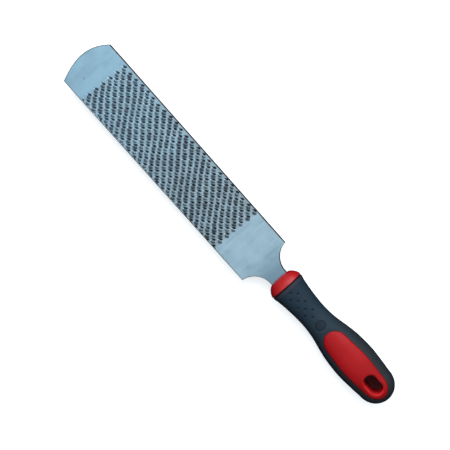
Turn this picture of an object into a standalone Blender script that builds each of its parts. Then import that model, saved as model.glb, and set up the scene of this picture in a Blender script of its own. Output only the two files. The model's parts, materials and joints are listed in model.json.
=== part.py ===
# Farrier rasp: a flat steel hoof rasp with raised teeth, its forged tang held in a two-material handle.
# Units are metres. +X runs along the tool to the rasp's tip, +Z is the toothed side, and the origin is
# at the middle of the tool's length and width, on the surface that it lies on.
# Three pieces: rasp_blade (with its tang), handle_core (hard red plastic) and soft_grip (dark sleeve).

import math

import bmesh
import bpy

MM = 0.001

# ---- Driving dimensions -------------------------------------------------------------------------

TOTAL_LENGTH = 346.0 * MM
GAP = 0.3 * MM                      # between pieces that touch

BLADE_TIP_WIDTH = 44.4 * MM         # the blade narrows a little from its tip band to its shoulders
BLADE_HEEL_WIDTH = 43.1 * MM
TIP_BAND_X = 150.0 * MM             # from here to the rounded end the sides are parallel
BLADE_THICKNESS = 4.5 * MM
TIP_BOW = 14.45                     # per metre: the rounded end falls back by bow * y * y
TIP_SKEW = 154.0                    # per metre squared: one corner stands further forward
NECK_HALF_WIDTH = 7.4 * MM
COVE_RADIUS = 15.7 * MM             # hollow corner between shoulder and neck
COVE_CENTRE = (-49.3 * MM, NECK_HALF_WIDTH + COVE_RADIUS)
TANG_HALF_WIDTH = 4.5 * MM
NECK_END_X = -52.6 * MM             # inside the handle, where the neck starts to narrow
TANG_TAPER_X = -60.0 * MM           # where it has narrowed to the tang
TANG_END_X = -128.0 * MM
TANG_END_RADIUS = 2.7 * MM

TOOTH_FIRST_X = 145.3 * MM          # the row of teeth next to the tip
TOOTH_ROW_PITCH = 3.165 * MM        # a row to the next, which is shifted by half a tooth spacing
TOOTH_ROWS = 47
TEETH_PER_ROW = 6
TOOTH_SPACING = 6.7 * MM            # across the blade
EVEN_ROW_OFFSET = -2.2 * MM         # middle of the first, third... row from the blade's middle
ODD_ROW_OFFSET = 1.2 * MM           # middle of the rows between them
TOOTH_HALF_WIDTH = 1.6 * MM
TOOTH_LENGTH = 3.6 * MM
TOOTH_RAKE = 0.2 * MM               # how far the crest leans back from the cutting edge
TOOTH_HEIGHT = 1.1 * MM
TOOTH_ROOT = 0.4 * MM               # how far a tooth's solid reaches into the plate
ROW_SLANT = math.radians(3.0)       # rows are cut a little off square

NOSE_X = -50.3 * MM                 # front of the handle
NOSE_FLAT_HALF_WIDTH = 7.6 * MM
NOSE_FLAT_HALF_THICKNESS = 6.0 * MM
NOSE_CROWN = 0.7 * MM
NOSE_BULGE = 1.6                    # superellipse power of the nose's shoulder
JOINT_X = -58.9 * MM                # back of the nose
STEP_DEPTH = 0.2 * MM               # run of the step from the nose down to the spine
NOSE_HALF_WIDTH = 13.9 * MM
NOSE_HALF_THICKNESS = 12.2 * MM
SKIN = 3.0 * MM                     # wall of the soft grip over the core

# Handle section along its length: x, half width, half thickness, in millimetres.
HANDLE_SECTIONS = (
    (-58.9, 13.9, 12.2),
    (-72.0, 12.0, 10.8),
    (-87.5, 11.0, 10.1),
    (-99.5, 11.8, 10.8),
    (-111.5, 14.2, 12.3),
    (-121.0, 15.8, 13.3),
    (-135.5, 16.6, 13.8),
    (-149.0, 15.7, 13.2),
    (-158.0, 14.85, 12.4),
    (-175.0, 14.8, 12.2),
)
HANDLE_END_X = -TOTAL_LENGTH / 2
END_CAP_LENGTH = 15.0 * MM          # the rounded end is half an ellipse in plan
SECTION_POWER = 2.25                # 2 is an ellipse, more is squarer
AXIS_HEIGHT = 13.8 * MM             # the tool's axis above the surface: the belly's half thickness

# Half width of the hard window in the grip along x, before its round ends, in millimetres.
WINDOW_SECTIONS = (
    (-105.0, 8.3),
    (-117.4, 9.4),
    (-136.0, 10.7),
    (-155.0, 9.5),
    (-169.0, 8.7),
)
WINDOW_FRONT_X = -105.0 * MM
WINDOW_REAR_X = -169.0 * MM
WINDOW_FRONT_CAP = 9.0 * MM
WINDOW_REAR_CAP = 12.0 * MM

HANG_HOLE_X = -156.1 * MM
HANG_HOLE_LENGTH = 16.5 * MM
HANG_HOLE_WIDTH = 10.4 * MM

SIDES = 32                          # points around the handle
BODY_STEPS = 14                     # sections along the handle before its rounded end
CAP_STEPS = 8                       # sections along the rounded end
CAP_REACH = 0.985                   # share of the quarter turn that the end's sections cover
CROWN_STEPS = 4
SHOULDER_STEPS = 7
WINDOW_STEPS = 28                   # points along each side of the window
ARC_STEPS = 10                      # points along each arc of the blade's outline
THROUGH = 40.0 * MM                 # half height of a cutter that passes right through


# ---- Small tools --------------------------------------------------------------------------------

def curve_value(sections, x, column):
    """Smooth value at x through the rows of a section table (millimetres in, metres out)."""
    xs = [row[0] * MM for row in sections]
    ys = [row[column] * MM for row in sections]
    last = len(xs) - 1
    if x >= xs[0]:
        return ys[0]
    if x <= xs[last]:
        return ys[last]
    i = next(k for k in range(last) if xs[k + 1] <= x)

    def slope(k):
        a = max(k - 1, 0)
        b = min(k + 1, last)
        return (ys[b] - ys[a]) / (xs[b] - xs[a])

    span = xs[i + 1] - xs[i]
    t = (x - xs[i]) / span
    return ((2 * t**3 - 3 * t**2 + 1) * ys[i] + (t**3 - 2 * t**2 + t) * span * slope(i)
            + (3 * t**2 - 2 * t**3) * ys[i + 1] + (t**3 - t**2) * span * slope(i + 1))


def round_end(distance, length, power=2.0):
    """Share of the full width at a distance from a rounded end of the given length."""
    u = min(max(1.0 - distance / length, 0.0), 1.0)
    return (1.0 - u**power) ** (1.0 / power)


def arc(centre, radius, start, end, steps=ARC_STEPS):
    """Points on an arc, angles in degrees, both ends included."""
    angles = [math.radians(start + (end - start) * i / steps) for i in range(steps + 1)]
    return [(centre[0] + radius * math.cos(a), centre[1] + radius * math.sin(a)) for a in angles]


def make_object(name, bm, smooth_angle=None):
    """Turn a bmesh into an object that stands at the tool's axis height."""
    bmesh.ops.recalc_face_normals(bm, faces=bm.faces)
    mesh = bpy.data.meshes.new(name)
    bm.to_mesh(mesh)
    bm.free()
    if smooth_angle is not None:
        mesh.shade_smooth()
        mesh.set_sharp_from_angle(angle=math.radians(smooth_angle))
    piece = bpy.data.objects.new(name, mesh)
    piece.location.z = AXIS_HEIGHT
    bpy.context.scene.collection.objects.link(piece)
    return piece


def extrude_outline(name, outline, half_height):
    """A plate of the outline, half_height above and below the axis."""
    bm = bmesh.new()
    face = bm.faces.new([bm.verts.new((x, y, -half_height)) for x, y in outline])
    lifted = bmesh.ops.extrude_face_region(bm, geom=[face])
    top = [v for v in lifted["geom"] if isinstance(v, bmesh.types.BMVert)]
    bmesh.ops.translate(bm, verts=top, vec=(0, 0, 2 * half_height))
    return make_object(name, bm)


def loft(name, stations):
    """A closed skin through superellipse sections: rows of x, half width, half thickness."""
    bm = bmesh.new()
    rings = []
    for x, half_width, half_thickness in stations:
        ring = []
        for i in range(SIDES):
            c = math.cos(2 * math.pi * i / SIDES)
            s = math.sin(2 * math.pi * i / SIDES)
            y = half_width * math.copysign(abs(c) ** (2 / SECTION_POWER), c)
            z = half_thickness * math.copysign(abs(s) ** (2 / SECTION_POWER), s)
            ring.append(bm.verts.new((x, y, z)))
        rings.append(ring)
    for first, second in zip(rings, rings[1:]):
        for i in range(SIDES):
            j = (i + 1) % SIDES
            bm.faces.new((first[i], first[j], second[j], second[i]))
    bm.faces.new(rings[0])
    bm.faces.new(rings[-1])
    return make_object(name, bm, smooth_angle=40)


def guide(piece):
    """Mark an object that only shapes others."""
    piece.hide_render = True
    piece.display_type = "WIRE"
    return piece


def boolean(piece, operation, other):
    modifier = piece.modifiers.new(f"{operation.lower()}_{other.name}", "BOOLEAN")
    modifier.operation = operation
    modifier.solver = "EXACT"
    modifier.object = guide(other)


def finish(piece, colour, roughness, metallic):
    material = bpy.data.materials.new(piece.name)
    material.use_nodes = True
    shader = material.node_tree.nodes["Principled BSDF"]
    shader.inputs["Base Color"].default_value = (*colour, 1.0)
    shader.inputs["Roughness"].default_value = roughness
    shader.inputs["Metallic"].default_value = metallic
    piece.data.materials.append(material)


# ---- Blade --------------------------------------------------------------------------------------

def blade_outline(grow=0.0):
    """Plan outline of blade, neck and tang, grown outwards by grow (used for the tang's socket)."""
    half = BLADE_TIP_WIDTH / 2
    points = []
    for i in range(2 * ARC_STEPS + 1):
        y = half * (i / ARC_STEPS - 1)
        points.append((TOTAL_LENGTH / 2 - TIP_BOW * y**2 + TIP_SKEW * y**3, y))
    start = math.degrees(math.asin((BLADE_HEEL_WIDTH / 2 - COVE_CENTRE[1]) / COVE_RADIUS))
    side = [(TIP_BAND_X, half)] + arc(COVE_CENTRE, COVE_RADIUS, start, -90)
    side += [(NECK_END_X, NECK_HALF_WIDTH + grow), (TANG_TAPER_X, TANG_HALF_WIDTH + grow)]
    side += arc((TANG_END_X + TANG_END_RADIUS, 0), TANG_END_RADIUS + grow, 100, 180, 5)
    points += side
    points += [(x, -y) for x, y in reversed(side[:-1])]
    return points


def tang_outline(grow):
    """The part of the outline that is inside the handle, started in front of the nose."""
    front = NOSE_X + 3 * MM
    half = NECK_HALF_WIDTH + grow
    inner = [(x, y) for x, y in blade_outline(grow) if x <= NECK_END_X]
    return [(front, -half), (front, half)] + inner


def make_teeth():
    """Every tooth is a low wedge that faces the tip; alternate rows sit half a spacing over."""
    bm = bmesh.new()
    surface = BLADE_THICKNESS / 2
    for row in range(TOOTH_ROWS):
        row_offset = ODD_ROW_OFFSET if row % 2 else EVEN_ROW_OFFSET
        for column in range(TEETH_PER_ROW):
            y = (column - (TEETH_PER_ROW - 1) / 2) * TOOTH_SPACING + row_offset
            x = TOOTH_FIRST_X - row * TOOTH_ROW_PITCH + math.tan(ROW_SLANT) * y
            corners = (
                (x, y - TOOTH_HALF_WIDTH, surface - TOOTH_ROOT),
                (x, y + TOOTH_HALF_WIDTH, surface - TOOTH_ROOT),
                (x - TOOTH_LENGTH, y + TOOTH_HALF_WIDTH / 2, surface - TOOTH_ROOT),
                (x - TOOTH_RAKE, y, surface + TOOTH_HEIGHT),
            )
            base_a, base_b, heel, crest = [bm.verts.new(c) for c in corners]
            bm.faces.new((base_a, base_b, heel))
            bm.faces.new((base_b, base_a, crest))
            bm.faces.new((heel, base_b, crest))
            bm.faces.new((base_a, heel, crest))
    return make_object("teeth", bm)


def make_blade():
    blade = extrude_outline("rasp_blade", blade_outline(), BLADE_THICKNESS / 2)
    boolean(blade, "UNION", make_teeth())
    finish(blade, (0.42, 0.50, 0.56), 0.38, 0.9)


# ---- Handle -------------------------------------------------------------------------------------

def handle_stations(inset, front_x):
    """Sections of the handle's outside, moved inwards by inset, from front_x to the rounded end."""
    end = HANDLE_END_X + inset
    cap_start = HANDLE_END_X + END_CAP_LENGTH
    xs = [front_x + (cap_start - front_x) * i / BODY_STEPS for i in range(BODY_STEPS)]
    for i in range(CAP_STEPS + 1):
        turn = math.pi / 2 * CAP_REACH * i / CAP_STEPS
        xs.append(cap_start - (cap_start - end) * math.sin(turn))
    stations = []
    for x in xs:
        share = round_end(x - end, cap_start - end)
        half_width = (curve_value(HANDLE_SECTIONS, x, 1) - inset) * share
        half_thickness = (curve_value(HANDLE_SECTIONS, x, 2) - inset) * share
        stations.append((x, half_width, half_thickness))
    return stations


def nose_stations():
    """The domed nose: a slightly crowned front, then a shoulder that swells to the joint."""
    crown_end = NOSE_X - NOSE_CROWN
    stations = []
    for i in range(1, CROWN_STEPS):
        share = i / CROWN_STEPS
        x = NOSE_X - NOSE_CROWN * (1 - math.sqrt(1 - share**2))
        stations.append((x, NOSE_FLAT_HALF_WIDTH * share, NOSE_FLAT_HALF_THICKNESS * share))
    for i in range(SHOULDER_STEPS + 1):
        x = crown_end + (JOINT_X - crown_end) * (i / SHOULDER_STEPS) ** NOSE_BULGE
        share = round_end(crown_end - x, crown_end - JOINT_X, NOSE_BULGE)
        half_width = NOSE_FLAT_HALF_WIDTH + (NOSE_HALF_WIDTH - NOSE_FLAT_HALF_WIDTH) * share
        half_thickness = (NOSE_FLAT_HALF_THICKNESS
                          + (NOSE_HALF_THICKNESS - NOSE_FLAT_HALF_THICKNESS) * share)
        stations.append((x, half_width, half_thickness))
    return stations


def window_outline(grow):
    """Egg-shaped plan outline of the hard window, grown outwards by grow."""
    front = WINDOW_FRONT_X + grow
    rear = WINDOW_REAR_X - grow
    side = []
    for i in range(1, WINDOW_STEPS):
        x = front + (rear - front) * (1 - math.cos(math.pi * i / WINDOW_STEPS)) / 2
        half = curve_value(WINDOW_SECTIONS, x, 1) + grow
        half *= round_end(front - x, WINDOW_FRONT_CAP) * round_end(x - rear, WINDOW_REAR_CAP)
        side.append((x, half))
    return [(front, 0)] + side + [(rear, 0)] + [(x, -y) for x, y in reversed(side)]


def hang_hole_outline():
    radius = HANG_HOLE_WIDTH / 2
    reach = HANG_HOLE_LENGTH / 2 - radius
    rear = arc((HANG_HOLE_X - reach, 0), radius, 90, 270)
    front = arc((HANG_HOLE_X + reach, 0), radius, -90, 90)
    return rear + front


def make_core():
    """Nose, spine under the grip, and the window blocks that fill the grip's openings."""
    core = loft("handle_core", nose_stations() + handle_stations(SKIN, JOINT_X - STEP_DEPTH))
    window = loft("window_block", handle_stations(0.0, JOINT_X - 20 * MM))
    boolean(window, "INTERSECT", extrude_outline("window_edge", window_outline(0.0), THROUGH))
    boolean(core, "UNION", window)
    boolean(core, "DIFFERENCE", extrude_outline("hang_hole", hang_hole_outline(), THROUGH))
    socket_half_height = BLADE_THICKNESS / 2 + GAP
    boolean(core, "DIFFERENCE", extrude_outline("tang_socket", tang_outline(GAP), socket_half_height))
    finish(core, (0.48, 0.015, 0.02), 0.35, 0.0)


def make_grip():
    """The soft sleeve: a skin over the spine, open at the front and at the two windows."""
    grip = loft("soft_grip", handle_stations(0.0, JOINT_X - STEP_DEPTH - GAP))
    boolean(grip, "DIFFERENCE", loft("grip_cavity", handle_stations(SKIN - GAP, JOINT_X + 2 * MM)))
    boolean(grip, "DIFFERENCE", extrude_outline("window_opening", window_outline(GAP), THROUGH))
    finish(grip, (0.025, 0.04, 0.055), 0.6, 0.0)


def main():
    for old in list(bpy.data.objects):
        bpy.data.objects.remove(old, do_unlink=True)
    make_blade()
    make_core()
    make_grip()


main()
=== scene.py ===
import json
import math

import bmesh
import bpy
import numpy as np
from mathutils import Matrix, Vector


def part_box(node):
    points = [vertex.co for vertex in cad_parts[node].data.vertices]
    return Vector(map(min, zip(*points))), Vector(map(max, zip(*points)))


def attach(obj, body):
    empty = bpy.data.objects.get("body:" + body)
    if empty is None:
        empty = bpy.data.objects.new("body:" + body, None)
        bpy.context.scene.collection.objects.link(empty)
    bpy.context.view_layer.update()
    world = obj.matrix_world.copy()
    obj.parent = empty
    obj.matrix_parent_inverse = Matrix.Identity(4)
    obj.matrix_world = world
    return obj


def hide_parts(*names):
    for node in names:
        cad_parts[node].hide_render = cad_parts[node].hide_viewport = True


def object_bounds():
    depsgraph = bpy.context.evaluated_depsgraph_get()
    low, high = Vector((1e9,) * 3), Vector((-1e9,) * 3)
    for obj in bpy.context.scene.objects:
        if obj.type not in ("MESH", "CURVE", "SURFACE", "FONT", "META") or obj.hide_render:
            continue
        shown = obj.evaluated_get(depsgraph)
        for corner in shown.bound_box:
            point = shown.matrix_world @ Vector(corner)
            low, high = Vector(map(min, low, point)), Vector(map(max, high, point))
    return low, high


# Lengths are in millimetres about the tool's axis, unless a note says otherwise.
mm = 0.001

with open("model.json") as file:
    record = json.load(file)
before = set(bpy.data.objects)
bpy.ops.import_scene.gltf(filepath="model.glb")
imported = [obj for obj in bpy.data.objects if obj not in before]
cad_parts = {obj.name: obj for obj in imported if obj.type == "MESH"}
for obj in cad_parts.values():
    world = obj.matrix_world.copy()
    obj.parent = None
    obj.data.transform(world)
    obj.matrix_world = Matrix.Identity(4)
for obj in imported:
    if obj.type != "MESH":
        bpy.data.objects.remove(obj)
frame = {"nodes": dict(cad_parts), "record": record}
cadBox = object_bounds()
print("frame loaded:", ", ".join(sorted(frame["nodes"])))

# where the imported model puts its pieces
bladeLow, bladeHigh = [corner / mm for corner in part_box("rasp_blade")]
coreLow, coreHigh = [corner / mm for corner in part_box("handle_core")]
axisHeight = (coreLow.z + coreHigh.z) / 2
tipX = bladeHigh.x
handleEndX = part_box("soft_grip")[0].x / mm
heelFace = next(mount for mount in frame["record"]["mounts"] if mount["name"] == "heel_face")
plateHalfThickness = (heelFace["pos_m"][2] / mm - bladeLow.z) / 2


def curveThrough(table, x, column):
    # smooth value at x through a table whose first column falls from row to row
    xs = [row[0] for row in table]
    ys = [row[column] for row in table]
    last = len(xs) - 1
    if x >= xs[0]:
        return ys[0]
    if x <= xs[last]:
        return ys[last]
    i = next(k for k in range(last) if xs[k + 1] <= x)

    def slope(k):
        a, b = max(k - 1, 0), min(k + 1, last)
        return (ys[b] - ys[a]) / (xs[b] - xs[a])

    span = xs[i + 1] - xs[i]
    t = (x - xs[i]) / span
    return ((2 * t**3 - 3 * t**2 + 1) * ys[i] + (t**3 - 2 * t**2 + t) * span * slope(i)
            + (3 * t**2 - 2 * t**3) * ys[i + 1] + (t**3 - t**2) * span * slope(i + 1))


def roundEnd(distance, length, power=2.0):
    # 0 at an end and 1 at length from it, along a rounded curve
    u = min(max(1.0 - distance / length, 0.0), 1.0)
    return (1.0 - u**power) ** (1.0 / power)


def arcPoints(centre, radius, start, end, steps):
    angles = [math.radians(start + (end - start) * i / steps) for i in range(steps + 1)]
    return [(centre[0] + radius * math.cos(a), centre[1] + radius * math.sin(a)) for a in angles]


def smoothStep(low, high, value):
    t = np.clip((value - low) / (high - low), 0.0, 1.0)
    return t * t * (3 - 2 * t)


def distanceToOutline(points, outline):
    # shortest plan distance from each point to a closed outline
    starts = np.array(outline)
    ends = np.roll(starts, -1, axis=0)
    best = np.full(len(points), 1e9)
    for a, b in zip(starts, ends):
        edge = b - a
        t = np.clip((points - a) @ edge / max(edge @ edge, 1e-9), 0.0, 1.0)
        best = np.minimum(best, np.linalg.norm(points - a - t[:, None] * edge, axis=1))
    return best


class Field:
    # a number that varies over a surface, as a chain of Math nodes
    def __init__(self, tree, socket):
        self.tree = tree
        self.socket = socket

    def math(self, operation, *others):
        node = self.tree.nodes.new("ShaderNodeMath")
        node.operation = operation
        for slot, value in zip(node.inputs, (self, *others)):
            if isinstance(value, Field):
                self.tree.links.new(value.socket, slot)
            else:
                slot.default_value = value
        return Field(self.tree, node.outputs[0])

    def __add__(self, other):
        return self.math("ADD", other)

    def __sub__(self, other):
        return self.math("SUBTRACT", other)

    def __mul__(self, other):
        return self.math("MULTIPLY", other)

    def __truediv__(self, other):
        return self.math("DIVIDE", other)

    def least(self, other):
        return self.math("MINIMUM", other)

    def most(self, other):
        return self.math("MAXIMUM", other)

    def ramp(self, low, high):
        # 0 at low and 1 at high, smooth between, in either order
        node = self.tree.nodes.new("ShaderNodeMapRange")
        node.interpolation_type = "SMOOTHSTEP"
        for name, value in (("Value", self), ("From Min", low), ("From Max", high)):
            if isinstance(value, Field):
                self.tree.links.new(value.socket, node.inputs[name])
            else:
                node.inputs[name].default_value = value
        return Field(self.tree, node.outputs["Result"])


def newGeometryTree(name, inputs):
    # a modifier tree with named number inputs; returns it, its inputs as fields and their identifiers
    tree = bpy.data.node_groups.new(name, "GeometryNodeTree")
    tree.is_modifier = True
    tree.interface.new_socket("Geometry", in_out="INPUT", socket_type="NodeSocketGeometry")
    identifiers = {}
    for label, value in inputs.items():
        made = tree.interface.new_socket(label, in_out="INPUT", socket_type="NodeSocketFloat")
        made.default_value = value
        identifiers[label] = made.identifier
    tree.interface.new_socket("Geometry", in_out="OUTPUT", socket_type="NodeSocketGeometry")
    entry = tree.nodes.new("NodeGroupInput")
    fields = {label: Field(tree, entry.outputs[label]) for label in inputs}
    return tree, entry, fields, identifiers


def positionFields(tree):
    position = tree.nodes.new("GeometryNodeInputPosition")
    parts = tree.nodes.new("ShaderNodeSeparateXYZ")
    tree.links.new(position.outputs[0], parts.inputs[0])
    return [Field(tree, out) * (1 / mm) for out in parts.outputs]


def closeTree(tree, geometry, material):
    realize = tree.nodes.new("GeometryNodeRealizeInstances")
    paint = tree.nodes.new("GeometryNodeSetMaterial")
    leave = tree.nodes.new("NodeGroupOutput")
    paint.inputs["Material"].default_value = material
    tree.links.new(geometry, realize.inputs[0])
    tree.links.new(realize.outputs[0], paint.inputs["Geometry"])
    tree.links.new(paint.outputs[0], leave.inputs[0])


def runTree(piece, tree, identifiers, values):
    # applies the tree and leaves a plain mesh
    modifier = piece.modifiers.new(tree.name, "NODES")
    modifier.node_group = tree
    for label, value in values.items():
        modifier[identifiers[label]] = value
    applyModifiers(piece)


def applyModifiers(piece):
    graph = bpy.context.evaluated_depsgraph_get()
    mesh = bpy.data.meshes.new_from_object(piece.evaluated_get(graph), depsgraph=graph)
    mesh.name = piece.name
    piece.modifiers.clear()
    old = piece.data
    piece.data = mesh
    bpy.data.meshes.remove(old)


def meshPiece(name, vertices, faces):
    mesh = bpy.data.meshes.new(name)
    placed = [(x * mm, y * mm, (z + axisHeight) * mm) for x, y, z in vertices]
    mesh.from_pydata(placed, [], faces)
    mesh.validate()
    bm = bmesh.new()
    bm.from_mesh(mesh)
    bmesh.ops.remove_doubles(bm, verts=bm.verts, dist=0.002 * mm)
    bmesh.ops.recalc_face_normals(bm, faces=bm.faces)
    bm.to_mesh(mesh)
    bm.free()
    piece = bpy.data.objects.new(name, mesh)
    bpy.context.scene.collection.objects.link(piece)
    return piece


def shadeSmooth(mesh, sharpAngle):
    mesh.shade_smooth()
    mesh.set_sharp_from_angle(angle=math.radians(sharpAngle))


def prism(name, outline, low, high):
    count = len(outline)
    vertices = [(x, y, low) for x, y in outline] + [(x, y, high) for x, y in outline]
    faces = [tuple(range(count)), tuple(range(count, 2 * count))]
    faces += [(i, (i + 1) % count, count + (i + 1) % count, count + i) for i in range(count)]
    return meshPiece(name, vertices, faces)


def sectionRing(x, halfWidth, halfThickness, power, sides):
    ring = []
    for i in range(sides):
        c, s = math.cos(2 * math.pi * i / sides), math.sin(2 * math.pi * i / sides)
        y = halfWidth * math.copysign(abs(c) ** (2 / power), c)
        z = halfThickness * math.copysign(abs(s) ** (2 / power), s)
        ring.append((x, y, z))
    return ring


def ringFaces(ringCount, sides):
    faces = [tuple(range(sides)), tuple(range((ringCount - 1) * sides, ringCount * sides))]
    for k in range(ringCount - 1):
        for i in range(sides):
            j = (i + 1) % sides
            faces.append((k * sides + i, k * sides + j, (k + 1) * sides + j, (k + 1) * sides + i))
    return faces


def combine(piece, operation, other):
    modifier = piece.modifiers.new(operation.lower(), "BOOLEAN")
    modifier.operation = operation
    modifier.solver = "EXACT"
    modifier.object = other
    applyModifiers(piece)
    bpy.data.objects.remove(other, do_unlink=True)


def newMaterial(name):
    material = bpy.data.materials.new(name)
    material.use_nodes = True
    tree = material.node_tree
    return material, tree, tree.nodes["Principled BSDF"]


def objectVector(tree, stretch=(1, 1, 1)):
    place = tree.nodes.new("ShaderNodeTexCoord")
    mapping = tree.nodes.new("ShaderNodeMapping")
    mapping.inputs["Scale"].default_value = stretch
    tree.links.new(place.outputs["Object"], mapping.inputs["Vector"])
    return mapping.outputs[0]


def noiseField(tree, vector, scale, detail):
    noise = tree.nodes.new("ShaderNodeTexNoise")
    noise.inputs["Scale"].default_value = scale
    noise.inputs["Detail"].default_value = detail
    noise.inputs["Roughness"].default_value = 0.55
    tree.links.new(vector, noise.inputs["Vector"])
    return Field(tree, noise.outputs["Fac"])


def mixColours(tree, factor, first, second):
    mix = tree.nodes.new("ShaderNodeMix")
    mix.data_type = "RGBA"
    tree.links.new(factor.socket, mix.inputs["Factor"])
    for name, value in (("A", first), ("B", second)):
        slot = next(s for s in mix.inputs if s.name == name and s.type == "RGBA")
        if isinstance(value, tuple):
            slot.default_value = (*value, 1.0)
        else:
            tree.links.new(value, slot)
    return next(s for s in mix.outputs if s.type == "RGBA")


def makeSurfaceGroup():
    # shared by the tool's materials: soft blotches, fine grain, and a bumped normal of that grain
    tree = bpy.data.node_groups.new("surfaceGrain", "ShaderNodeTree")
    interface = tree.interface
    interface.new_socket("Vector", in_out="INPUT", socket_type="NodeSocketVector")
    for label, value in (("Blotch Scale", 40.0), ("Grain Scale", 900.0), ("Grain Depth", 0.0001)):
        made = interface.new_socket(label, in_out="INPUT", socket_type="NodeSocketFloat")
        made.default_value = value
    interface.new_socket("Blotches", in_out="OUTPUT", socket_type="NodeSocketFloat")
    interface.new_socket("Grain", in_out="OUTPUT", socket_type="NodeSocketFloat")
    interface.new_socket("Normal", in_out="OUTPUT", socket_type="NodeSocketVector")
    entry = tree.nodes.new("NodeGroupInput")
    leave = tree.nodes.new("NodeGroupOutput")
    patterns = []
    for label, detail in (("Blotch Scale", 4.0), ("Grain Scale", 2.0)):
        noise = tree.nodes.new("ShaderNodeTexNoise")
        noise.inputs["Detail"].default_value = detail
        tree.links.new(entry.outputs["Vector"], noise.inputs["Vector"])
        tree.links.new(entry.outputs[label], noise.inputs["Scale"])
        patterns.append(noise.outputs["Fac"])
    bump = tree.nodes.new("ShaderNodeBump")
    bump.inputs["Strength"].default_value = 1.0
    tree.links.new(entry.outputs["Grain Depth"], bump.inputs["Distance"])
    tree.links.new(patterns[1], bump.inputs["Height"])
    tree.links.new(patterns[0], leave.inputs["Blotches"])
    tree.links.new(patterns[1], leave.inputs["Grain"])
    tree.links.new(bump.outputs[0], leave.inputs["Normal"])
    return tree


surfaceGrain = makeSurfaceGroup()


def useGrain(tree, vector, blotchScale, grainScale, grainDepth):
    node = tree.nodes.new("ShaderNodeGroup")
    node.node_tree = surfaceGrain
    tree.links.new(vector, node.inputs["Vector"])
    for label, value in (("Blotch Scale", blotchScale), ("Grain Scale", grainScale),
                         ("Grain Depth", grainDepth)):
        node.inputs[label].default_value = value
    blotches, grain = [Field(tree, node.outputs[label]) for label in ("Blotches", "Grain")]
    return blotches, grain, node.outputs["Normal"]


blade = {
    "halfWidthTip": 22.2,       # at the tip end of the toothed band
    "halfWidthHeel": 21.55,     # at the shoulders
    "chamfer": 0.35,
    "tipBow": 0.01445,          # the rounded end falls back by bow * y * y
    "tipSkew": 0.000154,        # one corner stands further forward
    "shoulderX": -33.7,
    "coveRadius": 15.7,
    "coveX": -49.3,
    "neckHalfWidth": 7.4,
    "tangHalfWidth": 4.5,
    "tangTaperX": -60.0,
    "neckEndX": -52.6,
    "bandStartX": -5.6,         # finely meshed band that carries the teeth and the file cut
    "bandEndX": 150.2,
    "stepAlong": 0.40,          # mesh steps of that band
    "stepAcross": 0.30,
    "stepUnder": 0.56,
}

groundHalfWidth = blade["halfWidthHeel"] - blade["chamfer"]

steelLook = {
    "tip": (0.34, 0.52, 0.63),
    "heel": (0.44, 0.585, 0.665),
    "neck": (0.20, 0.30, 0.36),
    "rawAndShadeTip": (0.116, 0.148, 0.188),        # the punched metal of the teeth, darkened further as painted shade
    "rawAndShadeHeel": (0.088, 0.106, 0.125),
    "betweenTip": (0.31, 0.42, 0.48),       # worn metal between the teeth
    "betweenHeel": (0.25, 0.31, 0.33),
    "pitShadeTip": (0.020, 0.058, 0.098),
    "pitShadeHeel": (0.003, 0.009, 0.015),
    "stain": (0.13, 0.12, 0.09),
    "edge": (0.10, 0.10, 0.12),
    "toneSpan": (0.0, 150.0),               # where each colour turns from heel to tip
    "betweenSpan": (0.0, 140.0),
    "rawAndShadeSpan": (10.0, 140.0),
    "pitShadeSpan": (60.0, 140.0),
    "neckSpan": (-30.0, -47.0),
    "dent": (158.6, 9.4),                   # a small old dent near the tip
    "roughness": 0.25,
}


def attributeField(tree, name):
    node = tree.nodes.new("ShaderNodeAttribute")
    node.attribute_name = name
    return Field(tree, node.outputs["Fac"])


def placeFields(tree):
    # the piece's own coordinates in millimetres
    place = tree.nodes.new("ShaderNodeTexCoord")
    parts = tree.nodes.new("ShaderNodeSeparateXYZ")
    tree.links.new(place.outputs["Object"], parts.inputs[0])
    return [Field(tree, out) / mm for out in parts.outputs]


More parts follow.
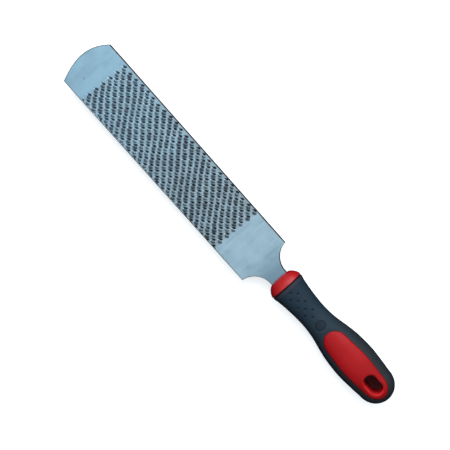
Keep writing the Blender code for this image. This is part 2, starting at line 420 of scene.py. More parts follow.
def makeSteel():
    material, tree, shader = newMaterial("groundSteel")
    links = tree.links
    x, y = placeFields(tree)[:2]
    blotches, brush, normal = useGrain(tree, objectVector(tree, (1.8, 0.3, 1.0)), 90.0, 2600.0, 0.00003)
    mottle = noiseField(tree, objectVector(tree), 70.0, 3.0)
    stains = noiseField(tree, objectVector(tree), 130.0, 4.0)
    height, shade = attributeField(tree, "toothHeight"), attributeField(tree, "toothShade")
    colour = mixColours(tree, x.ramp(*steelLook["toneSpan"]), steelLook["heel"], steelLook["tip"])
    colour = mixColours(tree, x.ramp(*steelLook["neckSpan"]) * 0.85, colour, steelLook["neck"])
    # grinding marks run across the blade, in patches
    streaks = noiseField(tree, objectVector(tree, (1.0, 0.1, 1.0)), 420.0, 3.0).ramp(0.42, 0.72)
    streaks = streaks * stains.ramp(0.35, 0.6) * 0.22
    worn = blotches.ramp(0.35, 0.7) * 0.24 + mottle.ramp(0.4, 0.7) * 0.22 + streaks
    colour = mixColours(tree, worn, colour, steelLook["neck"])
    band = attributeField(tree, "toothBand") * (mottle.ramp(0.3, 0.7) * 0.3 + 0.4)
    between = mixColours(tree, x.ramp(*steelLook["betweenSpan"]), steelLook["betweenHeel"],
                         steelLook["betweenTip"])
    colour = mixColours(tree, band, colour, between)
    # the teeth's raw metal, with painted shade on the burrs and in the file grooves, by the tooth shade
    # attribute
    rawAndShade = mixColours(tree, x.ramp(*steelLook["rawAndShadeSpan"]), steelLook["rawAndShadeHeel"], steelLook["rawAndShadeTip"])
    colour = mixColours(tree, shade.least(1.0), colour, rawAndShade)
    stained = stains.ramp(0.54, 0.72) * shade.ramp(0.1, 0.6) * 0.3
    colour = mixColours(tree, stained, colour, steelLook["stain"])
    # painted shade: the pits turn near black with depth and are made less metallic
    pitShadeMask = height.ramp(-0.08, -0.50)
    pitShadeColour = mixColours(tree, x.ramp(*steelLook["pitShadeSpan"]), steelLook["pitShadeHeel"], steelLook["pitShadeTip"])
    colour = mixColours(tree, pitShadeMask, colour, pitShadeColour)
    # side walls and chamfers are unground
    shape = tree.nodes.new("ShaderNodeNewGeometry")
    parts = tree.nodes.new("ShaderNodeSeparateXYZ")
    links.new(shape.outputs["True Normal"], parts.inputs[0])
    upright = Field(tree, parts.outputs["Z"]).math("ABSOLUTE").ramp(0.93, 0.75)
    outside = y.math("ABSOLUTE").ramp(groundHalfWidth - 0.05, groundHalfWidth + 0.05)
    outside = outside.most(x.ramp(blade["bandEndX"] - 0.7, blade["bandEndX"] - 0.2))
    outside = outside.most(x.ramp(blade["bandStartX"] + 0.6, blade["bandStartX"] + 0.1))
    # a thin line of painted shade where the ground face meets the chamfer
    growth = (blade["halfWidthTip"] - blade["halfWidthHeel"]) / (blade["bandEndX"] - blade["shoulderX"])
    sideGap = y.math("ABSOLUTE") - x * growth - (blade["halfWidthHeel"] - blade["shoulderX"] * growth)
    tipGap = x + y * y * blade["tipBow"] - y * y * y * blade["tipSkew"] - tipX
    edgeShadeLine = (sideGap.ramp(-0.75, -0.5) * x.ramp(-32.0, -28.0)).most(tipGap.ramp(-0.75, -0.5)) * 0.75
    dentX, dentY = x - steelLook["dent"][0], y - steelLook["dent"][1]
    dent = (dentX * dentX * 0.4 + dentY * dentY * 3.0 + dentX * dentY * 0.8).ramp(1.1, 0.1) * 0.5
    colour = mixColours(tree, (upright * outside).most(dent).most(edgeShadeLine), colour, steelLook["edge"])
    links.new(colour, shader.inputs["Base Color"])
    rough = brush * 0.1 + blotches * 0.14 + steelLook["roughness"] + pitShadeMask * 0.3 + shade.most(band) * 0.2
    links.new(rough.socket, shader.inputs["Roughness"])
    links.new((pitShadeMask * -0.8 + 1.0).socket, shader.inputs["Metallic"])
    links.new(normal, shader.inputs["Normal"])
    return material


hangHole = {"x": -156.1, "length": 16.5, "width": 10.4, "rimRadius": 1.5}

redLook = {
    "main": (0.44, 0.009, 0.011),
    "deep": (0.39, 0.007, 0.009),
    "nose": (0.50, 0.012, 0.014),
    "joint": (0.10, 0.008, 0.016),      # painted shade where the nose meets the grip
    "wall": (0.66, 0.022, 0.026),       # painted light: the hang hole's wall made brighter than the rest
    "wallY": -1.0,                      # the hole's middle, which is moved with the handle
    "noseSpan": (-61.0, -59.0),
    "roughness": 0.27,
    "shine": 0.13,
    "noseCoat": 0.55,                   # the nose is the glossiest part
    "noseRoughness": 0.40,
}


def makeRedPlastic():
    material, tree, shader = newMaterial("redPlastic")
    blotches, grain, normal = useGrain(tree, objectVector(tree), 35.0, 1400.0, 0.00002)
    x, y = placeFields(tree)[:2]
    nose = x.ramp(*redLook["noseSpan"])
    colour = mixColours(tree, blotches.ramp(0.35, 0.65), redLook["main"], redLook["deep"])
    colour = mixColours(tree, nose, colour, redLook["nose"])
    # painted shade in the crease where the nose meets the grip
    joint = x.ramp(-57.9, -59.0) * x.ramp(-70.0, -60.0) * 0.75
    colour = mixColours(tree, joint, colour, redLook["joint"])
    # painted light on the hang hole's wall, over an oval a little larger than the hole
    alongHole = (x - hangHole["x"]) / (hangHole["length"] * 0.52)
    acrossHole = (y - redLook["wallY"]) / (hangHole["width"] * 0.54)
    wall = (alongHole * alongHole + acrossHole * acrossHole).ramp(1.3, 1.05)
    colour = mixColours(tree, wall, colour, redLook["wall"])
    shader.inputs["Specular IOR Level"].default_value = redLook["shine"]
    shader.inputs["Coat Roughness"].default_value = redLook["noseRoughness"]
    tree.links.new((nose * redLook["noseCoat"]).socket, shader.inputs["Coat Weight"])
    tree.links.new(colour, shader.inputs["Base Color"])
    rough = blotches * 0.14 + grain * 0.08 + redLook["roughness"]
    tree.links.new(rough.socket, shader.inputs["Roughness"])
    tree.links.new(normal, shader.inputs["Normal"])
    return material


gripLook = {
    "main": (0.016, 0.032, 0.049),
    "worn": (0.020, 0.038, 0.054),
    "rear": (0.030, 0.030, 0.031),      # greyer around the window
    "lip": (0.042, 0.041, 0.060),       # paler band at the front end
    # painted shade in the dimples, the badge's recess and along the front edge
    "sunk": (0.006, 0.010, 0.016),
    "rearSpan": (-90.0, -135.0),
    "lipSpan": (-63.4, -61.8),
    "grooveShadeSpan": (-60.3, -59.6),       # painted shade on the front edge beside the nose
    "roughness": 0.46,
    "shine": 0.15,
}


def makeGripRubber():
    material, tree, shader = newMaterial("softGripRubber")
    shader.inputs["Specular IOR Level"].default_value = gripLook["shine"]
    blotches, grain, normal = useGrain(tree, objectVector(tree), 55.0, 2200.0, 0.00006)
    colour = mixColours(tree, blotches.ramp(0.3, 0.7), gripLook["main"], gripLook["worn"])
    x = placeFields(tree)[0]
    colour = mixColours(tree, x.ramp(*gripLook["rearSpan"]) * 0.7, colour, gripLook["rear"])
    colour = mixColours(tree, x.ramp(*gripLook["lipSpan"]) * 0.8, colour, gripLook["lip"])
    # painted shade: the dimples, the badge's recess and the front edge beside the nose are darkened
    groove = x.ramp(*gripLook["grooveShadeSpan"]) * 0.9
    hollow = attributeField(tree, "sunk").ramp(0.02, 0.4) * 0.85
    colour = mixColours(tree, hollow.most(groove), colour, gripLook["sunk"])
    tree.links.new(colour, shader.inputs["Base Color"])
    rough = blotches * 0.15 + grain * 0.1 + gripLook["roughness"]
    tree.links.new(rough.socket, shader.inputs["Roughness"])
    tree.links.new(normal, shader.inputs["Normal"])
    return material


steel = makeSteel()
redPlastic = makeRedPlastic()
gripRubber = makeGripRubber()
print("materials made")


teeth = {
    "firstRowX": 145.7,
    "rowPitch": 6.333,
    "oddRowStep": 3.2,          # from a row to the staggered row after it
    "evenRows": 24,
    "oddRows": 23,
    "perEvenRow": 7,
    "perOddRow": 6,
    "spacing": 6.80,
    "evenFirstY": -19.6,
    "oddFirstY": -16.2,
    "slantHeel": 0.030,         # tangent of the rows' slant at the heel end
    "slantTip": 0.083,          # and at the first row
    "swayDepth": 0.65,          # slow sideways sway of the rows
    "swayLength": 31.65,
    "swayPhaseX": 122.5,
    "scatter": 0.35,
    "drift": 0.0040,            # sideways creep towards the heel, per millimetre
    "burrHeight": 0.45,
    "pitDepth": 1.0,
    "pitWay": (-0.88, -0.475),      # from the pit's point to its far end
    "chainWay": (-0.683, 0.731),    # along the diagonal chains that the teeth form
    "burrAlong": 1.8,               # the burr's middle, from the pit's
    "burrLength": 1.5,
    "burrWidth": 1.75,
    "cellShift": 1.0,               # a tooth's cell is centred between its pit and its burr
}

fileCut = {"pitch": 1.68, "depth": 0.32}


def bladeHalfWidth(x):
    t = (x - blade["shoulderX"]) / (blade["bandEndX"] - blade["shoulderX"])
    t = min(max(t, 0.0), 1.0)
    return blade["halfWidthHeel"] + (blade["halfWidthTip"] - blade["halfWidthHeel"]) * t


def bladeSide(inset):
    # the +Y side from the band's heel end to the tang's end
    centre = (blade["coveX"], blade["neckHalfWidth"] + blade["coveRadius"])
    radius = blade["coveRadius"] + inset
    half = blade["halfWidthHeel"] - inset
    start = math.degrees(math.asin((half - centre[1]) / radius))
    side = arcPoints(centre, radius, start, -90, 24)
    neck, tang = blade["neckHalfWidth"] - inset, blade["tangHalfWidth"] - inset
    side += [(blade["neckEndX"], neck), (blade["tangTaperX"], tang)]
    return side + [(bladeLow.x + 2.0 + inset, tang), (bladeLow.x + inset, 2.0)]


def bladeTip(inset):
    # the rounded tip, from the -Y corner to the +Y corner
    half = blade["halfWidthTip"] - inset
    ys = [half * (i / 24 - 1) for i in range(49)]
    return [(tipX - inset - blade["tipBow"] * y**2 + blade["tipSkew"] * y**3, y) for y in ys]


def makeBladeMesh():
    xs = np.arange(blade["bandEndX"], blade["bandStartX"], -blade["stepAlong"])
    chamfer = blade["chamfer"]
    vertices, faces = [], []

    def addPoints(points, z):
        start = len(vertices)
        vertices.extend((x, y, z) for x, y in points)
        return list(range(start, len(vertices)))

    def perimeter(inset):
        sideBand = [(x, bladeHalfWidth(x) - inset) for x in xs]
        heel = bladeSide(inset)
        other = [(x, -y) for x, y in reversed(heel)]
        back = [(x, -y) for x, y in reversed(sideBand)]
        return bladeTip(inset) + sideBand + heel + other + back

    tipCount = len(bladeTip(0.0))
    sideCount = len(xs)
    heelCount = len(bladeSide(0.0))
    outer = perimeter(0.0)
    inner = perimeter(chamfer)
    rings = [addPoints(inner, -plateHalfThickness), addPoints(outer, -plateHalfThickness + chamfer),
             addPoints(outer, plateHalfThickness - chamfer), addPoints(inner, plateHalfThickness)]
    count = len(outer)
    for low, high in zip(rings, rings[1:]):
        for i in range(count):
            j = (i + 1) % count
            faces.append((low[i], low[j], high[j], high[i]))
    heelStart = tipCount + sideCount
    heelEnd = heelStart + 2 * heelCount
    for ring, z, step in ((rings[0], -plateHalfThickness, blade["stepUnder"]),
                          (rings[3], plateHalfThickness, blade["stepAcross"])):
        across = int(round(2 * blade["halfWidthTip"] / step))
        left = ring[tipCount:heelStart]
        right = list(reversed(ring[heelEnd:]))
        columns = []
        for k, x in enumerate(xs):
            half = bladeHalfWidth(x) - chamfer
            middle = addPoints([(x, half * (1 - 2 * j / across)) for j in range(1, across)], z)
            columns.append([left[k]] + middle + [right[k]])
        for first, second in zip(columns, columns[1:]):
            for j in range(across):
                faces.append((first[j], first[j + 1], second[j + 1], second[j]))
        faces.append(tuple(ring[:tipCount] + columns[0]))
        faces.append(tuple(columns[-1][::-1] + ring[heelStart:heelEnd]))
    return meshPiece("raspBlade", vertices, faces)


def latticeCell(x, y, firstX, firstY, rowCount, perRow, rowPitch, spacing):
    # nearest lattice point: offsets from it, and its row and place
    row = ((x * -1.0 + firstX) / rowPitch).math("ROUND")
    row = row.most(0.0).least(rowCount - 1.0)
    place = ((y - firstY) / spacing).math("ROUND").most(0.0).least(perRow - 1.0)
    alongX = x - (row * rowPitch * -1.0 + firstX)
    alongY = y - (place * spacing + firstY)
    return alongX, alongY, row, place


def toothShape(tree, dx, dy, row, place, seed, values):
    # one punched tooth: a dart-shaped pit, and the burr thrown up beside it
    cell = tree.nodes.new("ShaderNodeCombineXYZ")
    tree.links.new(row.socket, cell.inputs[0])
    tree.links.new(place.socket, cell.inputs[1])
    cell.inputs[2].default_value = seed
    chance = tree.nodes.new("ShaderNodeTexWhiteNoise")
    tree.links.new(cell.outputs[0], chance.inputs["Vector"])
    parts = tree.nodes.new("ShaderNodeSeparateXYZ")
    tree.links.new(chance.outputs["Color"], parts.inputs[0])
    size, turn, lift = [Field(tree, out) - 0.5 for out in parts.outputs]
    dx, dy = dx + turn * values["Scatter"], dy + size * values["Scatter"]
    # pit: a dart with its point towards the tip, widest and deepest at the far end
    wayX, wayY = teeth["pitWay"]
    u = dx * wayX + dy * wayY + 0.15
    v = dx * wayY + dy * -wayX - 0.2
    width = u.ramp(-2.0, 0.8) * 0.45 + 0.22
    pit = (v / width).math("ABSOLUTE").ramp(1.3, 0.3) * u.ramp(-2.4, -0.9) * u.ramp(1.7, 0.9)
    pit = pit * (u.ramp(-1.6, 0.9) * 0.5 + 0.5)
    # burr: a low dome beside the pit, further along the diagonal chain of teeth
    wayX, wayY = teeth["chainWay"]
    along = (dx * wayX + dy * wayY - teeth["burrAlong"]) / (size * 0.4 + teeth["burrLength"])
    aside = (dx * -wayY + dy * wayX + 0.1) / (turn * 0.4 + teeth["burrWidth"])
    dome = (along * along + aside * aside) * -1.0 + 1.0
    burr = dome.ramp(0.0, 1.0) * (lift * 0.6 + 1.0)
    # raw metal, darkened as painted shade, covers the dome and most of the way back to the pit
    back = along.ramp(-1.9, -0.6) * along.ramp(1.8, 0.7) * aside.math("ABSOLUTE").ramp(1.2, 0.3)
    cover = dome.ramp(-0.1, 0.5) * (along.ramp(0.9, -0.4) * 0.28 + 0.62)
    shade = cover.most(back * 0.85) * (turn * 0.6 + 0.87)
    return burr, pit, shade


def makeToothTree():
    inputs = {
        "Row Pitch": teeth["rowPitch"], "Tooth Spacing": teeth["spacing"], "Scatter": teeth["scatter"],
        "Burr Height": teeth["burrHeight"], "Pit Depth": teeth["pitDepth"],
        "Sway": teeth["swayDepth"], "File Pitch": fileCut["pitch"], "File Depth": fileCut["depth"],
    }
    tree, entry, values, identifiers = newGeometryTree("toothCut", inputs)
    x, y, z = positionFields(tree)
    heightOverAxis = z - axisHeight
    slant = x * ((teeth["slantTip"] - teeth["slantHeel"]) / teeth["firstRowX"]) + teeth["slantHeel"]
    squareX = x - y * slant
    sway = ((squareX - teeth["swayPhaseX"]) * (2 * math.pi / teeth["swayLength"])).math("COSINE")
    squareY = y + sway * values["Sway"] + (squareX * -1.0 + teeth["firstRowX"]) * teeth["drift"]
    shapes = []
    for seed, (step, firstY, rows, perRow) in enumerate((
            (0.0, teeth["evenFirstY"], teeth["evenRows"], teeth["perEvenRow"]),
            (teeth["oddRowStep"], teeth["oddFirstY"], teeth["oddRows"], teeth["perOddRow"]))):
        shift = teeth["cellShift"]
        dx, dy, row, place = latticeCell(
            squareX, squareY, teeth["firstRowX"] - step - shift, firstY + shift, rows, perRow,
            values["Row Pitch"], values["Tooth Spacing"])
        shapes.append(toothShape(tree, dx - shift, dy + shift, row, place, seed, values))
    burr, pit, shade = [first.most(second) for first, second in zip(*shapes)]
    inside = y.math("ABSOLUTE").ramp(groundHalfWidth + 0.1, groundHalfWidth - 0.3)
    ends = x.ramp(blade["bandStartX"] + 0.4, blade["bandStartX"] + 1.2)
    ends = ends * x.ramp(blade["bandEndX"] - 0.6, blade["bandEndX"] - 1.2)
    top = heightOverAxis.math("GREATER_THAN", plateHalfThickness - 0.05)
    bottom = heightOverAxis.math("LESS_THAN", 0.05 - plateHalfThickness)
    toothed = burr * (pit * -1.0 + 1.0) * values["Burr Height"] - pit * values["Pit Depth"]
    toothed = toothed * inside * ends * top
    # the underside is cut like a file, in two crossing directions
    waves = []
    for direction in (1.0, -1.0):
        wave = ((x + y * direction) / values["File Pitch"]).math("FRACT") - 0.5
        waves.append(wave.math("ABSOLUTE") * 2.0)
    groove = waves[0].most(waves[1]) * inside * ends * bottom
    rise = toothed + groove * values["File Depth"]
    geometry = entry.outputs["Geometry"]
    # the worn band reaches from just before the first row to just behind the last
    lastX = teeth["firstRowX"] - (teeth["evenRows"] - 1) * teeth["rowPitch"]
    band = squareX.ramp(teeth["firstRowX"] + 2.5, teeth["firstRowX"] - 0.5)
    band = band * squareX.ramp(lastX - 4.0, lastX - 0.5) * top
    # the file grooves are darkened as painted shade
    shade = shade * inside * ends * top + groove * 0.6
    for name, field in (("toothHeight", toothed), ("toothShade", shade), ("toothBand", band)):
        keep = tree.nodes.new("GeometryNodeStoreNamedAttribute")
        keep.data_type = "FLOAT"
        keep.domain = "POINT"
        keep.inputs["Name"].default_value = name
        tree.links.new(geometry, keep.inputs["Geometry"])
        tree.links.new(field.socket, keep.inputs["Value"])
        geometry = keep.outputs[0]
    lift = tree.nodes.new("ShaderNodeCombineXYZ")
    tree.links.new((rise * mm).socket, lift.inputs[2])
    move = tree.nodes.new("GeometryNodeSetPosition")
    tree.links.new(geometry, move.inputs["Geometry"])
    tree.links.new(lift.outputs[0], move.inputs["Offset"])
    closeTree(tree, move.outputs[0], steel)
    return tree, identifiers, inputs


def makeBlade():
    piece = makeBladeMesh()
    tree, identifiers, inputs = makeToothTree()
    runTree(piece, tree, identifiers, inputs)
    shadeSmooth(piece.data, 42)
    return piece


raspBlade = makeBlade()
print("blade made:", len(raspBlade.data.polygons), "faces")


handle = {
    # x, half width, half thickness
    "sections": (
        (-58.9, 13.9, 12.2),
        (-72.0, 12.0, 10.8),
        (-87.5, 11.0, 10.1),
        (-99.5, 11.8, 10.8),
        (-111.5, 14.2, 12.3),
        (-121.0, 15.8, 13.3),
        (-135.5, 16.6, 13.79),
        (-149.0, 15.7, 13.2),
        (-158.0, 14.85, 12.4),
        (-175.0, 14.8, 12.2),
    ),
    "power": 2.25,
    "endCap": 15.0,
    "jointX": -58.9,
    "noseX": -50.3,
    "noseFlatHalfWidth": 7.6,
    "noseFlatHalfThickness": 6.0,
    "noseCrown": 0.7,
    "noseBulge": 1.6,
    "noseHalfWidth": 13.9,
    "noseHalfThickness": 12.2,
    "skin": 3.0,
    "seam": 0.12,               # gap shown between pieces
    "offset": -0.45,            # the handle sits a little to -Y of the blade's line
    "skew": 0.0057,             # and more so towards its end
}

window = {
    # x, half width
    "sections": (
        (-105.0, 8.3),
        (-117.4, 9.4),
        (-136.0, 10.7),
        (-155.0, 9.5),
        (-169.0, 8.7),
    ),
    "frontX": -105.0,
    "rearX": -169.0,
    "frontCap": 9.0,
    "rearCap": 12.0,
    "edgeRadius": 0.8,
    "gripDip": 0.4,             # the grip sinks to the window's edge
    "dipWidth": 2.6,
}

grip = {
    "sides": 176,
    "step": 0.42,
    "lipRadius": 0.7,
    "lipTrim": 0.45,            # how far the front edge is rounded off
    "bandTrim": 0.22,           # the sleeve is this much lower behind the lip band
    "bandSpan": (2.9, 3.5),     # over this stretch behind the front edge
}

dimples = {
    "firstX": -64.3,
    "pitch": 8.05,
    "rowSpacing": 3.9,
    "middleCount": 4,
    "sideCount": 3,
    "radius": 1.05,
    "depth": 0.55,
}

badge = {
    "x": -97.1,
    "radius": 4.2,
    "squash": 1.7,              # the oval is shorter along the handle by the root of this
    "ring": 0.85,
    "depth": 0.4,
    "floor": 0.5,               # share of the depth inside the ring
}


def skewHandle(piece):
    # sets the handle a little askew behind the blade, as it is on the real tool
    for vertex in piece.data.vertices:
        away = handle["offset"] + handle["skew"] * (vertex.co.x / mm - handle["jointX"])
        vertex.co.y += away * mm


def windowOutline(grow, steps=60):
    # the window's plan, larger all round by grow
    front, rear = window["frontX"] + grow, window["rearX"] - grow
    side = []
    for i in range(1, steps):
        x = front + (rear - front) * (1 - math.cos(math.pi * i / steps)) / 2
        half = curveThrough(window["sections"], x, 1) + grow
        half *= roundEnd(front - x, window["frontCap"]) * roundEnd(x - rear, window["rearCap"])
        side.append((x, half))
    return [(front, 0.0)] + side + [(rear, 0.0)] + [(x, -y) for x, y in reversed(side)]


def holeOutline(steps):
    radius = hangHole["width"] / 2
    reach = hangHole["length"] / 2 - radius
    rear = arcPoints((hangHole["x"] - reach, 0), radius, 90, 270, steps)
    front = arcPoints((hangHole["x"] + reach, 0), radius, -90, 90, steps)
    return rear + front


def handleSize(x, inset):
    end = handleEndX + inset
    capStart = handleEndX + handle["endCap"]
    share = roundEnd(x - end, capStart - end)
    halfWidth = (curveThrough(handle["sections"], x, 1) - inset) * share
    halfThickness = (curveThrough(handle["sections"], x, 2) - inset) * share
    return halfWidth, halfThickness


def handleTop(x, y):
    # height of the handle's surface over its axis
    halfWidth, halfThickness = handleSize(x, 0.0)
    power = handle["power"]
    share = max(1 - abs(y / max(halfWidth, 1e-6)) ** power, 0.0)
    return halfThickness * share ** (1 / power)


def handleStations(inset, frontX, step):
    # places along the handle for its rings, from the front back to the rounded end
    capStart = handleEndX + handle["endCap"]
    end = handleEndX + inset
    count = int((frontX - capStart) / step)
    xs = [frontX + (capStart - frontX) * i / count for i in range(count)]
    capSteps = max(int(1.6 * (capStart - end) / step), 6)
    xs += [capStart - (capStart - end) * math.sin(math.pi / 2 * i / capSteps) for i in range(capSteps)]
    xs.append(end + 0.004)
    return xs


def makeGripMesh():
    radius = grip["lipRadius"]
    frontX = handle["jointX"] - 0.2 - handle["seam"]
    xs = [frontX, frontX - 0.12, frontX - 0.35] + handleStations(0.0, frontX - radius, grip["step"])
    rings = []
    for x in xs:
        halfWidth, halfThickness = handleSize(x, 0.0)
        lip = frontX - x
        trim = grip["lipTrim"] * (1 - roundEnd(lip, radius))
        trim += grip["bandTrim"] * smoothStep(*grip["bandSpan"], lip)
        rings.append(sectionRing(x, halfWidth - trim, halfThickness - trim, handle["power"],
                                 grip["sides"]))
    points = np.array([p for ring in rings for p in ring])
    distance = distanceToOutline(points[:, :2], windowOutline(0.0))
    dip = window["gripDip"] * (1 - smoothStep(0.0, window["dipWidth"], distance))
    points[:, 2] -= np.sign(points[:, 2]) * dip * smoothStep(2.0, 6.0, np.abs(points[:, 2]))
    return meshPiece("softGrip", points.tolist(), ringFaces(len(xs), grip["sides"]))


def makeDimpleTree():
    inputs = {
        "Dimple Pitch": dimples["pitch"], "Dimple Rows Apart": dimples["rowSpacing"],
        "Dimple Radius": dimples["radius"], "Dimple Depth": dimples["depth"],
        "Badge Radius": badge["radius"], "Badge Depth": badge["depth"],
    }
    tree, entry, values, identifiers = newGeometryTree("gripDimples", inputs)
    x, y, z = positionFields(tree)
    facing = (z - axisHeight).math("ABSOLUTE").ramp(4.0, 6.0)
    dent = None
    # the middle row starts at the front; the rows beside it start half a pitch on
    for step, firstRow, rowCount, perRow in ((0.0, 0.0, dimples["middleCount"], 1),
                                             (0.5, -1.0, dimples["sideCount"], 2)):
        firstX = values["Dimple Pitch"] * -step + dimples["firstX"]
        dx, dy, _, _ = latticeCell(x, y, firstX, values["Dimple Rows Apart"] * firstRow, rowCount,
                                   perRow, values["Dimple Pitch"], values["Dimple Rows Apart"] * 2.0)
        away = (dx * dx + dy * dy).math("SQRT")
        hollow = (away / values["Dimple Radius"]).ramp(1.15, 0.25)
        dent = hollow if dent is None else dent.most(hollow)
    badgeX = x - badge["x"]
    fromBadge = (badgeX * badgeX * badge["squash"] + y * y).math("SQRT")
    ring = (fromBadge - values["Badge Radius"]).math("ABSOLUTE").ramp(badge["ring"], 0.0)
    floor = fromBadge.ramp(values["Badge Radius"], values["Badge Radius"] - 0.6) * badge["floor"]
    sink = (dent * values["Dimple Depth"] + ring.most(floor) * values["Badge Depth"]) * facing
    keep = tree.nodes.new("GeometryNodeStoreNamedAttribute")
    keep.data_type = "FLOAT"
    keep.domain = "POINT"
    keep.inputs["Name"].default_value = "sunk"
    tree.links.new(entry.outputs["Geometry"], keep.inputs["Geometry"])
    tree.links.new(sink.socket, keep.inputs["Value"])
    normal = tree.nodes.new("GeometryNodeInputNormal")
    scale = tree.nodes.new("ShaderNodeVectorMath")
    scale.operation = "SCALE"
    tree.links.new(normal.outputs[0], scale.inputs[0])
    tree.links.new((sink * -mm).socket, scale.inputs["Scale"])
    move = tree.nodes.new("GeometryNodeSetPosition")
    tree.links.new(keep.outputs[0], move.inputs["Geometry"])
    tree.links.new(scale.outputs[0], move.inputs["Offset"])
    closeTree(tree, move.outputs[0], gripRubber)
    return tree, identifiers, inputs


def makeGrip():
    piece = makeGripMesh()
    tree, identifiers, inputs = makeDimpleTree()
    runTree(piece, tree, identifiers, inputs)
    skin, sides = handle["skin"] - handle["seam"], 64
    xs = handleStations(skin, handle["jointX"] + 2.0, 3.0)
    rings = [sectionRing(x, *handleSize(x, skin), handle["power"], sides) for x in xs]
    cavity = meshPiece("gripCavity", [p for ring in rings for p in ring], ringFaces(len(xs), sides))
    combine(piece, "DIFFERENCE", cavity)
    through = 40.0      # well past the handle's thickness
    combine(piece, "DIFFERENCE", prism("windowCut", windowOutline(handle["seam"]), -through, through))
    skewHandle(piece)
    shadeSmooth(piece.data, 40)
    return piece


softGrip = makeGrip()
print("grip made:", len(softGrip.data.polygons), "faces")


def makeWindowBlock():
    # rays of points from the hole's rim out to the window's edge, top and bottom, closed by two walls
    sides = 160
    centre = hangHole["x"]
    hole, edge = holeOutline(40), windowOutline(0.0, 90)

    def atAngle(outline, angle):
        direction = np.array((math.cos(angle), math.sin(angle)))
        best = None
        for (ax, ay), (bx, by) in zip(outline, outline[1:] + outline[:1]):
            matrix = np.array(((direction[0], ax - bx), (direction[1], ay - by)))
            if abs(np.linalg.det(matrix)) < 1e-12:
                continue
            reach, share = np.linalg.solve(matrix, (ax - centre, ay))
            if reach > 0 and -1e-6 <= share <= 1 + 1e-6:
                best = reach if best is None else max(best, reach)
        return best

    # evenly spread around the window's edge, not by angle, so that the long front end isn't starved
    corners = np.array(edge + edge[:1])
    lengths = np.concatenate(([0.0], np.cumsum(np.linalg.norm(np.diff(corners, axis=0), axis=1))))
    spots = np.linspace(0.0, lengths[-1], sides, endpoint=False)
    edgePoints = np.stack([np.interp(spots, lengths, corners[:, k]) for k in (0, 1)], axis=1)
    near = (0.0, 0.1, 0.3, 0.6, 1.0, 1.5, 2.1)              # distances from the rim, where it is rounded
    far = (1.6, 1.1, 0.75, 0.5, 0.3, 0.14, 0.04, 0.0)       # and from the window's edge
    middleCount = 22
    rays = []
    for point in edgePoints:
        angle = math.atan2(point[1], point[0] - centre)
        direction = np.array((math.cos(angle), math.sin(angle)))
        inner = atAngle(hole, angle)
        outer = math.hypot(point[0] - centre, point[1])
        steps = [inner + d for d in near]
        low, high = inner + near[-1], outer - far[0]
        steps += [low + (high - low) * k / middleCount for k in range(1, middleCount)]
        steps += [outer - d for d in far]
        rays.append([(centre + direction[0] * r, direction[1] * r) for r in steps])
    plan = np.array(rays)
    perRay = plan.shape[1]
    flat = plan.reshape(-1, 2)
    fromEdge = distanceToOutline(flat, edge)
    fromHole = distanceToOutline(flat, hole)
    top = np.array([handleTop(x, y) for x, y in flat])
    for distance, radius in ((fromEdge, window["edgeRadius"]), (fromHole, hangHole["rimRadius"])):
        inside = np.clip(radius - distance, 0.0, radius)
        top -= radius - np.sqrt(np.maximum(radius**2 - inside**2, 0.0))
    vertices = [(x, y, z) for (x, y), z in zip(flat, top)]
    vertices += [(x, y, -z) for (x, y), z in zip(flat, top)]
    half = len(flat)
    faces = []
    for i in range(sides):
        j = (i + 1) % sides
        for k in range(perRay - 1):
            a, b = i * perRay + k, j * perRay + k
            faces.append((a, a + 1, b + 1, b))
            faces.append((half + a, half + b, half + b + 1, half + a + 1))
        for k in (0, perRay - 1):
            a, b = i * perRay + k, j * perRay + k
            faces.append((a, b, half + b, half + a))
    return meshPiece("windowBlock", vertices, faces)


def makeNose():
    sides = 128
    crownEnd = handle["noseX"] - handle["noseCrown"]
    flatWidth, flatThickness = handle["noseFlatHalfWidth"], handle["noseFlatHalfThickness"]
    stations = []
    for i in range(1, 12):
        share = i / 12
        x = handle["noseX"] - handle["noseCrown"] * (1 - math.sqrt(1 - share**2))
        stations.append((x, flatWidth * share, flatThickness * share))
    steps = 36
    for i in range(steps + 1):
        x = crownEnd + (handle["jointX"] - crownEnd) * (i / steps) ** 1.7
        share = roundEnd(crownEnd - x, crownEnd - handle["jointX"], handle["noseBulge"])
        trim = 0.5 * (1 - roundEnd(x - handle["jointX"], 0.7))
        stations.append((x, flatWidth + (handle["noseHalfWidth"] - flatWidth) * share - trim,
                         flatThickness + (handle["noseHalfThickness"] - flatThickness) * share - trim))
    for x in np.linspace(handle["jointX"] - 0.1, window["frontX"] - 8.0, 30):
        stations.append((x, *handleSize(x, handle["skin"])))
    rings = [sectionRing(x, w, t, handle["power"], sides) for x, w, t in stations]
    return meshPiece("handleCore", [p for ring in rings for p in ring], ringFaces(len(rings), sides))


def makeCore():
    piece = makeNose()
    combine(piece, "UNION", makeWindowBlock())
    skewHandle(piece)
    # the tang's socket, one seam larger than the tang and open at the nose
    gap = handle["seam"]
    neck, tang = blade["neckHalfWidth"] + gap, blade["tangHalfWidth"] + gap
    side = [(handle["noseX"] + 3.0, neck), (blade["neckEndX"], neck), (blade["tangTaperX"], tang),
            (bladeLow.x - gap, tang)]
    outline = side + [(x, -y) for x, y in reversed(side)]
    depth = plateHalfThickness + gap
    combine(piece, "DIFFERENCE", prism("tangSocket", outline, -depth, depth))
    piece.data.materials.clear()
    piece.data.materials.append(redPlastic)
    shadeSmooth(piece.data, 40)
    return piece


handleCore = makeCore()
print("core made:", len(handleCore.data.polygons), "faces")

for piece, node, slotName in ((raspBlade, "rasp_blade", "rasp_steel"),
                              (handleCore, "handle_core", "red_plastic"),
                              (softGrip, "soft_grip", "soft_rubber")):
    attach(piece, "root")
    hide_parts(node)


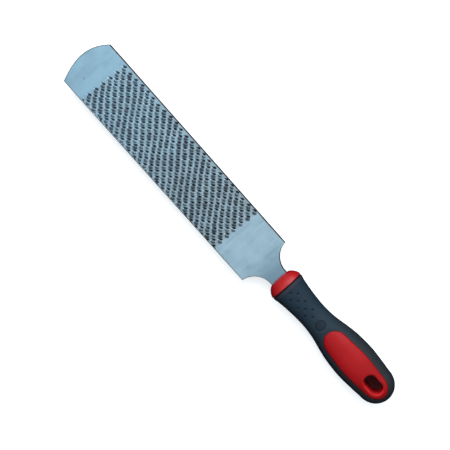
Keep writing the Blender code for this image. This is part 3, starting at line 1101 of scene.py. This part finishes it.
studio = {
    "lens": 120.0,
    "distance": 1.1268,
    "leanDegrees": 8.5,         # the camera stands to the -Y side of overhead
    "turnDegrees": -131.7,      # its picture's right side from the tool's +X
    "aim": (6.1, 3.83),         # millimetres, at the height of the tool's axis
    "keyPlace": (0.42, -0.66, 0.82),       # metres
    "keySize": 1.1,
    "keyPower": 10.0,
    "skyTowards": (0.15, -0.42, 0.90),     # the bright side of the sky
    "skyHigh": 1.22,
    "skyLow": 0.07,
    "skyColour": (0.80, 0.92, 1.0),
    "floorGlow": 0.62,
    "paintedShadowSize": (11.0, 6.4),       # half length and half width of the painted shadow under the hang hole
    "paintedShadowShift": (-1.2, 0.6),
    # painted shadow, tinted red as a painted reflection of the handle
    "paintedShadowColour": (0.16, 0.022, 0.025),
}


def aimObject(thing, target, upHint):
    back = (thing.location - target).normalized()
    right = upHint.cross(back).normalized()
    up = back.cross(right)
    thing.rotation_mode = "QUATERNION"
    thing.rotation_quaternion = Matrix((right, up, back)).transposed().to_quaternion()


def makeCamera():
    data = bpy.data.cameras.new("camera")
    data.lens = studio["lens"]
    data.sensor_width = 36.0
    data.clip_start = 0.01
    camera = bpy.data.objects.new("camera", data)
    bpy.context.scene.collection.objects.link(camera)
    lean, turn = math.radians(studio["leanDegrees"]), math.radians(studio["turnDegrees"])
    back = Vector((0.0, -math.sin(lean), math.cos(lean)))
    along = Vector((1.0, 0.0, 0.0))
    across = back.cross(along)
    right = along * math.cos(turn) + across * math.sin(turn)
    target = Vector((studio["aim"][0] * mm, studio["aim"][1] * mm, axisHeight * mm))
    place = Matrix((right, back.cross(right), back)).transposed().to_4x4()
    camera.matrix_world = Matrix.Translation(target + back * studio["distance"]) @ place
    bpy.context.scene.camera = camera


def makeLight(name, place, size, power):
    data = bpy.data.lights.new(name, "AREA")
    data.size = size
    data.energy = power
    light = bpy.data.objects.new(name, data)
    light.location = place
    bpy.context.scene.collection.objects.link(light)
    aimObject(light, Vector((0.0, 0.0, axisHeight * mm)), Vector((1.0, 0.0, 0.0)))


def makeFloor():
    bpy.ops.mesh.primitive_plane_add(size=6.0, location=(0.0, 0.0, cadBox[0].z - 0.0002))
    floor = bpy.context.object
    floor.name = "studioFloor"
    floor.visible_diffuse = False
    floor.visible_glossy = False
    material, tree, shader = newMaterial("paleFloor")
    shader.inputs["Roughness"].default_value = 0.9
    # painted shadow on the floor where it would shine up through the hang hole, tinted red as a painted
    # reflection of the handle
    x, y = placeFields(tree)[:2]
    aside = (x - hangHole["x"] - studio["paintedShadowShift"][0]) / studio["paintedShadowSize"][0]
    across = (y - studio["paintedShadowShift"][1]) / studio["paintedShadowSize"][1]
    clear = (aside * aside + across * across).math("SQRT").ramp(1.0, 1.4)
    colour = mixColours(tree, clear, studio["paintedShadowColour"], (0.9, 0.9, 0.9))
    tree.links.new(colour, shader.inputs["Base Color"])
    shader.inputs["Emission Color"].default_value = (1.0, 1.0, 1.0, 1.0)
    tree.links.new((clear * studio["floorGlow"]).socket, shader.inputs["Emission Strength"])
    floor.data.materials.append(material)


def makeSky():
    world = bpy.data.worlds.new("studioWorld")
    world.use_nodes = True
    tree = world.node_tree
    sky = tree.nodes["Background"]
    sky.inputs["Color"].default_value = (*studio["skyColour"], 1.0)
    place = tree.nodes.new("ShaderNodeTexCoord")
    parts = tree.nodes.new("ShaderNodeSeparateXYZ")
    facing = tree.nodes.new("ShaderNodeVectorMath")
    facing.operation = "DOT_PRODUCT"
    facing.inputs[1].default_value = Vector(studio["skyTowards"]).normalized()
    tree.links.new(place.outputs["Generated"], parts.inputs[0])
    tree.links.new(place.outputs["Generated"], facing.inputs[0])
    above = Field(tree, parts.outputs["Z"]).ramp(-0.05, 0.05)
    glow = Field(tree, facing.outputs["Value"]).ramp(0.25, 1.05)
    strength = (glow * (studio["skyHigh"] - studio["skyLow"]) + studio["skyLow"]) * above
    tree.links.new(strength.socket, sky.inputs["Strength"])
    bpy.context.scene.world = world


def makeStudio():
    makeFloor()
    makeSky()
    makeLight("keyLight", studio["keyPlace"], studio["keySize"], studio["keyPower"])
    bpy.context.scene.view_settings.view_transform = "Standard"


makeCamera()
makeStudio()
print("studio made")
